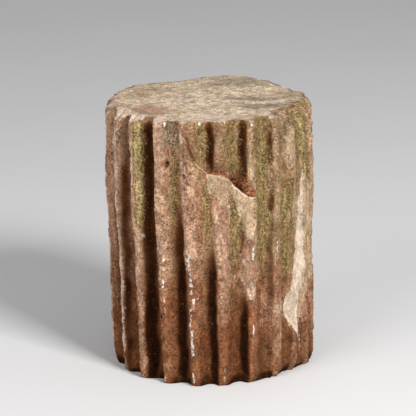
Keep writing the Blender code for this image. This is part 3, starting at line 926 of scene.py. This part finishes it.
stoneColours = {
    "ridge": (0.54, 0.330, 0.210),
    "ridgeTan": (0.47, 0.320, 0.195),
    "ridgeLow": (0.245, 0.094, 0.041),
    "flute": (0.270, 0.145, 0.076),
    "fluteTan": (0.250, 0.156, 0.078),
    "fluteLow": (0.150, 0.052, 0.019),
    "dark": (0.082, 0.026, 0.008),
    "grimeAndShade": (0.020, 0.0058, 0.0018),
    "moss": (0.425, 0.340, 0.150),
    "mossShade": (0.225, 0.160, 0.060),
    "mossBrown": (0.300, 0.214, 0.084),
    "mossDark": (0.100, 0.060, 0.022),
    "cream": (0.63, 0.500, 0.385),
    "creamDim": (0.48, 0.345, 0.230),
    "pink": (0.400, 0.232, 0.148),
    "pinkDim": (0.32, 0.158, 0.092),
    "bare": (0.450, 0.325, 0.205),
    "bareDim": (0.36, 0.232, 0.136),
    "red": (0.30, 0.115, 0.050),
    "redDark": (0.110, 0.036, 0.014),
    "grey": (0.25, 0.198, 0.148),
    "top": (0.72, 0.575, 0.410),
    "topDim": (0.44, 0.315, 0.205),
    "topRed": (0.40, 0.220, 0.135),
    "bruise": (0.74, 0.68, 0.60),
    "pore": (0.045, 0.020, 0.009),
}


def stoneMaterial():
    material = bpy.data.materials.new("weathered_stone_finish")
    material.use_nodes = True
    tree = material.node_tree
    shader = tree.nodes["Principled BSDF"]
    socketSet(shader, {"Roughness": 0.92, "Metallic": 0.0, "Specular IOR Level": 0.03})
    where = addNode(tree, "ShaderNodeTexCoord").outputs["Object"]
    masks = {}
    for name in maskNames:
        masks[name] = addNode(tree, "ShaderNodeAttribute", attribute_name=name).outputs["Fac"]
    colour = stoneColours

    patchy = noiseAt(tree, where, 42, 5, 0.68)
    streaky = noiseAt(tree, where, 55, 4, 0.62, (1, 1, 0.16))
    cloudy = noiseAt(tree, where, 75, 4, 0.6, (1, 1, 0.6), 0.4)
    fine = noiseAt(tree, where, 380, 3, 0.7)
    speckle = addNode(tree, "ShaderNodeGroup", node_tree=speckleGroup)
    tree.links.new(where, speckle.inputs["Vector"])
    mottle = speckle.outputs["Mottle"]

    # bare stone: paler on the ridges, redder and darker towards the foot, partly stain and partly painted
    # red light bounced up from a floor
    ridge = tint(tree, masks["tan"], colour["ridge"], colour["ridgeTan"])
    ridge = tint(tree, masks["stainAndBounceLight"], ridge, colour["ridgeLow"])
    flute = tint(tree, masks["tan"], colour["flute"], colour["fluteTan"])
    flute = tint(tree, masks["stainAndBounceLight"], flute, colour["fluteLow"])
    base = tint(tree, brokenEdge(tree, masks["hollow"], patchy, 1.6, 0.10, 0.95), ridge, flute)
    base = tint(tree, ramp(tree, streaky, 0.50, 0.66, 0.0, 0.6), base, ridge)
    base = tint(tree, ramp(tree, patchy, 0.52, 0.36, 0.0, 0.7), base, colour["fluteLow"])
    scratched = noiseAt(tree, where, 110, 4, 0.65, (1, 1, 0.30), 0.6)
    base = tint(tree, ramp(tree, scratched, 0.56, 0.70, 0.0, 0.5), base, ridge)

    # grime and painted shade in the flute hollows, pits and cracks, from brown at its edge to near black
    rough = maths(tree, "ADD", maths(tree, "MULTIPLY", mottle, 0.6), maths(tree, "MULTIPLY", patchy, 0.4))
    grimeAndShade = brokenEdge(tree, masks["grimeAndShade"], rough, 1.6, 0.06, 0.92)
    base = tint(tree, grimeAndShade, base, colour["dark"])
    deep = maths(tree, "MULTIPLY", masks["grimeAndShade"], ramp(tree, masks["stainAndBounceLight"], 0.1, 0.9, 0.66, 1.0))
    base = tint(tree, brokenEdge(tree, deep, rough, 1.6, 0.50, 1.05, 0.95), base, colour["grimeAndShade"])

    mossTone = tint(tree, ramp(tree, fine, 0.38, 0.60), colour["mossShade"], colour["moss"])
    brownMoss = tint(tree, ramp(tree, fine, 0.40, 0.60), colour["mossDark"], colour["mossBrown"])
    mossTone = tint(tree, ramp(tree, masks["moss"], 0.80, 1.05), brownMoss, mossTone)
    stray = maths(tree, "MULTIPLY", maths(tree, "SUBTRACT", patchy, 0.5), 1.6)
    moss = maths(tree, "ADD", masks["moss"], stray)
    base = tint(tree, brokenEdge(tree, moss, fine, 2.0, 0.26, 0.80, 0.90), base, mossTone)

    redTone = tint(tree, ramp(tree, mottle, 0.58, 0.42), colour["red"], colour["redDark"])
    base = tint(tree, brokenEdge(tree, masks["red"], rough, 1.6, 0.20, 0.80, 0.9), base, redTone)
    greyTone = tint(tree, ramp(tree, fine, 0.42, 0.60), colour["mossDark"], colour["grey"])
    base = tint(tree, brokenEdge(tree, masks["grey"], rough, 1.8, 0.25, 0.85, 0.75), base, greyTone)
    pinkTone = tint(tree, ramp(tree, scratched, 0.58, 0.42), colour["pink"], colour["pinkDim"])
    pinkArea = brokenEdge(tree, masks["pink"], rough, 1.8, 0.25, 0.80, 0.9)
    base = tint(tree, pinkArea, base, pinkTone)
    bareTone = tint(tree, ramp(tree, scratched, 0.56, 0.40), colour["bare"], colour["bareDim"])
    bareArea = brokenEdge(tree, masks["bare"], rough, 1.6, 0.25, 0.80, 0.92)
    base = tint(tree, bareArea, base, bareTone)
    creamTone = tint(tree, ramp(tree, scratched, 0.50, 0.36), colour["cream"], colour["creamDim"])
    cream = brokenEdge(tree, masks["cream"], rough, 1.8, 0.32, 0.84, 0.95)
    base = tint(tree, cream, base, creamTone)

    # top face: cream with grey, reddish and mossy drifts
    drift = noiseAt(tree, where, 40, 6, 0.75, (0.75, 1.3, 1), 0.5)
    layers = noiseAt(tree, where, 120, 4, 0.72, (0.45, 1.5, 1), 0.7)
    layers = maths(tree, "ADD", maths(tree, "MULTIPLY", drift, 0.6), maths(tree, "MULTIPLY", layers, 0.4))
    topTone = tint(tree, ramp(tree, layers, 0.56, 0.40), colour["top"], colour["topDim"])
    for name, tone, amount, low, high, most in (
            ("grey", "grey", 4.0, 0.25, 0.95, 0.8), ("red", "topRed", 4.5, 0.25, 1.00, 0.8),
            ("moss", "moss", 2.2, 0.30, 0.85, 0.6), ("cream", "cream", 4.0, 0.25, 0.95, 0.7)):
        drifts = brokenEdge(tree, masks[name], layers, amount, low, high, most)
        topTone = tint(tree, drifts, topTone, colour[tone])
    base = tint(tree, masks["top"], base, topTone)

    crumbs = noiseAt(tree, where, 260, 4, 0.75, (1, 1, 0.6))
    broken = brokenEdge(tree, masks["bruise"], crumbs, 3.6, 0.62, 0.86, 0.92)
    base = tint(tree, broken, base, colour["bruise"])

    # mottling, pores and grains over everything
    smoothStone = maths(tree, "MAXIMUM", cream, maths(tree, "MULTIPLY", bareArea, 0.7))
    smoothStone = maths(tree, "MAXIMUM", smoothStone, maths(tree, "MULTIPLY", pinkArea, 0.45))
    smoothStone = maths(tree, "MAXIMUM", smoothStone, maths(tree, "MULTIPLY", masks["top"], 0.4))
    shade = ramp(tree, mottle, 0.37, 0.63, 0.52, 1.33)
    softShade = ramp(tree, mottle, 0.36, 0.64, 0.82, 1.10)
    shade = maths(tree, "ADD", maths(tree, "MULTIPLY", shade, maths(tree, "SUBTRACT", 1.0, smoothStone)),
                  maths(tree, "MULTIPLY", softShade, smoothStone))
    shade = maths(tree, "MULTIPLY", shade, ramp(tree, cloudy, 0.36, 0.64, 0.76, 1.20))
    lift = addNode(tree, "ShaderNodeCombineColor")
    for name in ("Red", "Green", "Blue"):
        tree.links.new(shade, lift.inputs[name])
    base = tint(tree, 1.0, base, lift.outputs[0], "MULTIPLY")
    most = maths(tree, "SUBTRACT", 0.62, maths(tree, "MULTIPLY", smoothStone, 0.54))
    base = tint(tree, maths(tree, "MULTIPLY", speckle.outputs["Pores"], most), base, colour["pore"])
    clean = maths(tree, "MULTIPLY", maths(tree, "SUBTRACT", 1.0, grimeAndShade), 0.22)
    base = tint(tree, maths(tree, "MULTIPLY", speckle.outputs["Grains"], clean), base, colour["cream"])
    tree.links.new(base, shader.inputs["Base Color"])

    tree.links.new(ramp(tree, patchy, 0.3, 0.7, 0.84, 0.98), shader.inputs["Roughness"])
    relief = maths(tree, "ADD", speckle.outputs["Height"], maths(tree, "MULTIPLY", patchy, 1.4))
    bump = addNode(tree, "ShaderNodeBump", {"Strength": 0.9, "Distance": 0.0015})
    tree.links.new(relief, bump.inputs["Height"])
    tree.links.new(bump.outputs["Normal"], shader.inputs["Normal"])
    return material


studio = {
    "floorColour": (0.72, 0.71, 0.70),
    "floorSize": 30.0,
    "keyPlace": (2.3, -2.9, 2.9),
    "keySize": 1.3,
    "keyPower": 230.0,
    "fillPlace": (-2.6, -3.0, 2.2),
    "fillSize": 2.5,
    "fillPower": 85.0,
    "worldColour": (0.93, 0.95, 1.0),
    "worldStrength": 0.38,
}


def makeFloor():
    mesh = bmesh.new()
    bmesh.ops.create_grid(mesh, x_segments=8, y_segments=8, size=studio["floorSize"] / 2)
    data = bpy.data.meshes.new("studio_floor")
    mesh.to_mesh(data)
    mesh.free()
    floor = bpy.data.objects.new("studio_floor", data)
    bpy.context.scene.collection.objects.link(floor)
    material = bpy.data.materials.new("studio_floor_paint")
    material.use_nodes = True
    tree = material.node_tree
    shader = tree.nodes["Principled BSDF"]
    socketSet(shader, {"Roughness": 0.75, "Specular IOR Level": 0.3})
    where = addNode(tree, "ShaderNodeTexCoord").outputs["Object"]
    cloud = noiseAt(tree, where, 2.5, 3, 0.5)
    low = tuple(0.96 * value for value in studio["floorColour"])
    tree.links.new(tint(tree, cloud, low, studio["floorColour"]), shader.inputs["Base Color"])
    data.materials.append(material)
    return floor


def makeLight(name, place, size, power, target=(0, 0, 0.22)):
    lamp = bpy.data.lights.new(name, "AREA")
    lamp.size = size
    lamp.energy = power
    light = bpy.data.objects.new(name, lamp)
    light.location = place
    light.rotation_euler = (Vector(target) - Vector(place)).to_track_quat("-Z", "Y").to_euler()
    bpy.context.scene.collection.objects.link(light)


def makeStudio():
    makeFloor()
    makeLight("key", studio["keyPlace"], studio["keySize"], studio["keyPower"])
    makeLight("fill", studio["fillPlace"], studio["fillSize"], studio["fillPower"])
    world = bpy.data.worlds.new("studio")
    world.use_nodes = True
    background = world.node_tree.nodes["Background"]
    background.inputs["Color"].default_value = (*studio["worldColour"], 1)
    background.inputs["Strength"].default_value = studio["worldStrength"]
    bpy.context.scene.world = world
    bpy.context.scene.view_settings.view_transform = "Standard"


cameraSettings = {
    "pixels": 416,
    "focalPixels": 2160,
    "distance": 3.53,
    "topLook": 13.3,        # degrees down to the middle of the top face
    "pitch": 16.19,
    "aside": -0.005,
}


def makeCamera():
    lens = bpy.data.cameras.new("camera")
    lens.sensor_width = 36.0
    lens.lens = lens.sensor_width * cameraSettings["focalPixels"] / cameraSettings["pixels"]
    lens.clip_end = 60.0
    camera = bpy.data.objects.new("camera", lens)
    distance = cameraSettings["distance"]
    rise = distance * math.tan(math.radians(cameraSettings["topLook"]))
    camera.location = (cameraSettings["aside"], -distance, blockSettings["height"] + rise)
    camera.rotation_euler = (math.radians(90 - cameraSettings["pitch"]), 0, 0)
    bpy.context.scene.collection.objects.link(camera)
    bpy.context.scene.camera = camera


makeCamera()
makeStudio()
print("studio ready")

stone = makeStone()
stone.data.materials.append(stoneMaterial())
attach(stone, "root")
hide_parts("column_fragment")
print("stone shaped,", len(stone.data.polygons), "faces")
